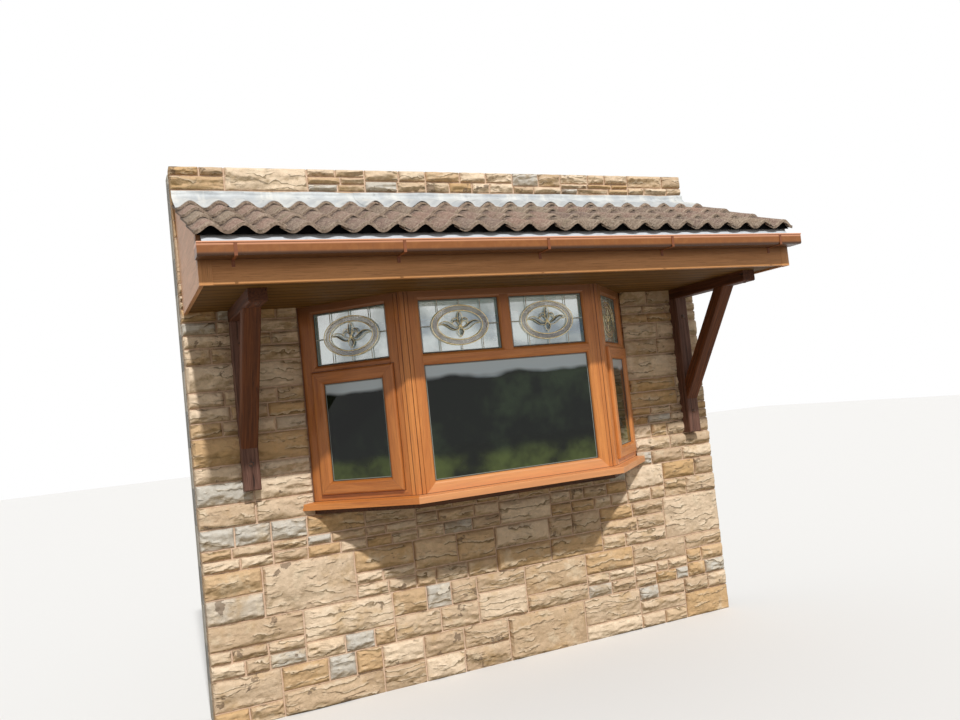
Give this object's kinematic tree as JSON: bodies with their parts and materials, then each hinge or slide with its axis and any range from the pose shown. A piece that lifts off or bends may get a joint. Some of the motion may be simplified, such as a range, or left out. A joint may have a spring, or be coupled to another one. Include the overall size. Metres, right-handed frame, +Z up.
{
  "type": "three-sided bay window with tiled canopy in a stone cavity wall",
  "caption": "Splayed oak-effect bay window with leaded top lights, in a stone wall section under a pantiled lean-to canopy on timber gallows brackets.",
  "frame": {"origin": "on the ground, on the bay's centreline, in the middle of the wall's thickness", "axes": "+X along the wall to the viewer's right, +Y into the house, +Z up"},
  "size_m": [3.6, 1.4273, 3.2],
  "materials": {
    "sandstone": "rock-faced buff sandstone",
    "plaster": "painted plaster on block",
    "concrete": "cast concrete",
    "oak": "golden oak woodgrain foil, satin",
    "glass": "clear sealed unit",
    "dark_timber": "dark stained softwood",
    "white_board": "satin white",
    "soffit_board": "dark stained tongued boards",
    "fascia_board": "brown woodgrain board, satin",
    "carcass_timber": "sawn softwood",
    "felt_tray": "grey eaves tray",
    "roof_tile": "weathered granular concrete",
    "lead": "weathered sheet lead",
    "gutter_brown": "brown, semi-gloss"
  },
  "bodies": {
    "root": {"stone_below": "sandstone", "stone_piers": "sandstone", "stone_above": "sandstone", "inner_below": "plaster", "inner_piers": "plaster", "inner_above": "plaster", "lintel": "concrete", "cavity_closers": "plaster", "left_sill": "oak", "front_sill": "oak", "right_sill": "oak", "front_jambs": "oak", "front_rails": "oak", "front_mullion": "oak", "front_transom": "oak", "left_jambs": "oak", "left_rails": "oak", "left_transom": "oak", "right_jambs": "oak", "right_rails": "oak", "right_transom": "oak", "left_sash": "oak", "right_sash": "oak", "picture_glass": "glass", "front_top_glass": "glass", "side_top_glass": "glass", "casement_glass": "glass", "bay_poles": "oak", "wall_posts": "oak", "bay_base": "dark_timber", "bay_head_board": "white_board", "window_board": "white_board", "bracket_posts": "dark_timber", "bracket_arms": "dark_timber", "bracket_braces": "dark_timber", "soffit": "soffit_board", "fascia": "fascia_board", "canopy_end_boards": "fascia_board", "canopy_trusses": "carcass_timber", "tile_battens": "carcass_timber", "eaves_tray": "felt_tray", "tile_courses": "roof_tile", "lead_flashing": "lead", "gutter": "gutter_brown", "gutter_clips": "gutter_brown"}
  },
  "joints": []
}
